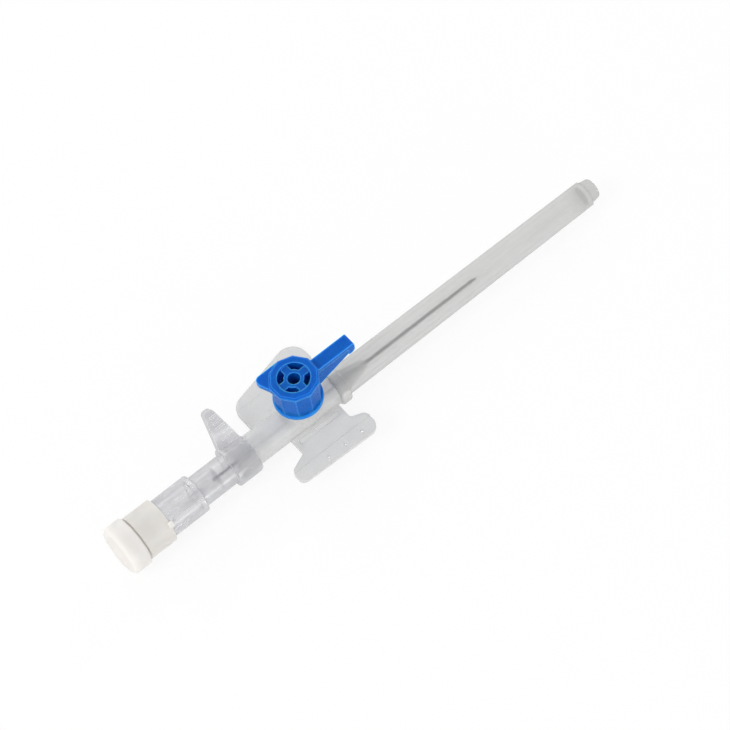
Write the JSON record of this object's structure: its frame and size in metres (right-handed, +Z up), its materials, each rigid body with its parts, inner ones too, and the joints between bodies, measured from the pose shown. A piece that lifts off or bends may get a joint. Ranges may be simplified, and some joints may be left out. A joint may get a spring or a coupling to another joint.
{
  "type": "iv cannula",
  "caption": "Winged peripheral IV cannula with injection port, over-the-needle catheter, clear flashback chamber with finger fin, end stopper and long needle cover.",
  "frame": {"origin": "on the surface it lies on, at the middle of its length and width", "axes": "+X along the needle towards its tip, +Z up; the port's axis leans 9 degrees towards +Y, because the cannula lies rolled onto its far wing"},
  "size_m": [0.1084, 0.0236, 0.0177],
  "materials": {
    "milky_plastic": "moulded milky polypropylene",
    "cover_plastic": "moulded translucent polypropylene",
    "clear_plastic": "moulded clear plastic",
    "catheter_plastic": "extruded translucent tube",
    "needle_steel": "drawn and polished stainless steel",
    "bush_steel": "drawn stainless steel",
    "silicone": "soft silicone",
    "blue_plastic": "satin moulded polypropylene",
    "white_plastic": "satin moulded plastic",
    "porous_plastic": "sintered porous disc"
  },
  "bodies": {
    "hub": {"catheter_hub": "milky_plastic", "catheter_tube": "catheter_plastic", "crimp_bush": "bush_steel", "port_valve": "silicone"},
    "needle_unit": {"flashback_chamber": "clear_plastic", "needle": "needle_steel", "vent_plug": "white_plastic", "vent_filter": "porous_plastic"},
    "end_stopper": {"end_stopper": "white_plastic"},
    "cap_ring": {"port_cap_ring": "blue_plastic"},
    "cap_lid": {"port_cap_lid": "blue_plastic"},
    "needle_cover": {"needle_cover": "cover_plastic"}
  },
  "joints": [
    {"name": "cover_pull", "type": "slide", "parent": "hub", "child": "needle_cover", "axis": [1, 0, 0], "range_m": [0, 0.04]},
    {"name": "needle_withdraw", "type": "slide", "parent": "hub", "child": "needle_unit", "axis": [-1, 0, 0], "range_m": [0, 0.062]},
    {"name": "stopper_off", "type": "slide", "parent": "needle_unit", "child": "end_stopper", "axis": [-1, 0, 0], "range_m": [0, 0.006]},
    {"name": "cap_swivel", "type": "hinge", "parent": "hub", "child": "cap_ring", "pos_m": [-0.01315, 0.00009, 0.00905], "axis": [0, 0.1564, 0.9877], "continuous": true},
    {"name": "lid_lift", "type": "slide", "parent": "cap_ring", "child": "cap_lid", "axis": [0, 0.1564, 0.9877], "range_m": [0, 0.006]}
  ]
}
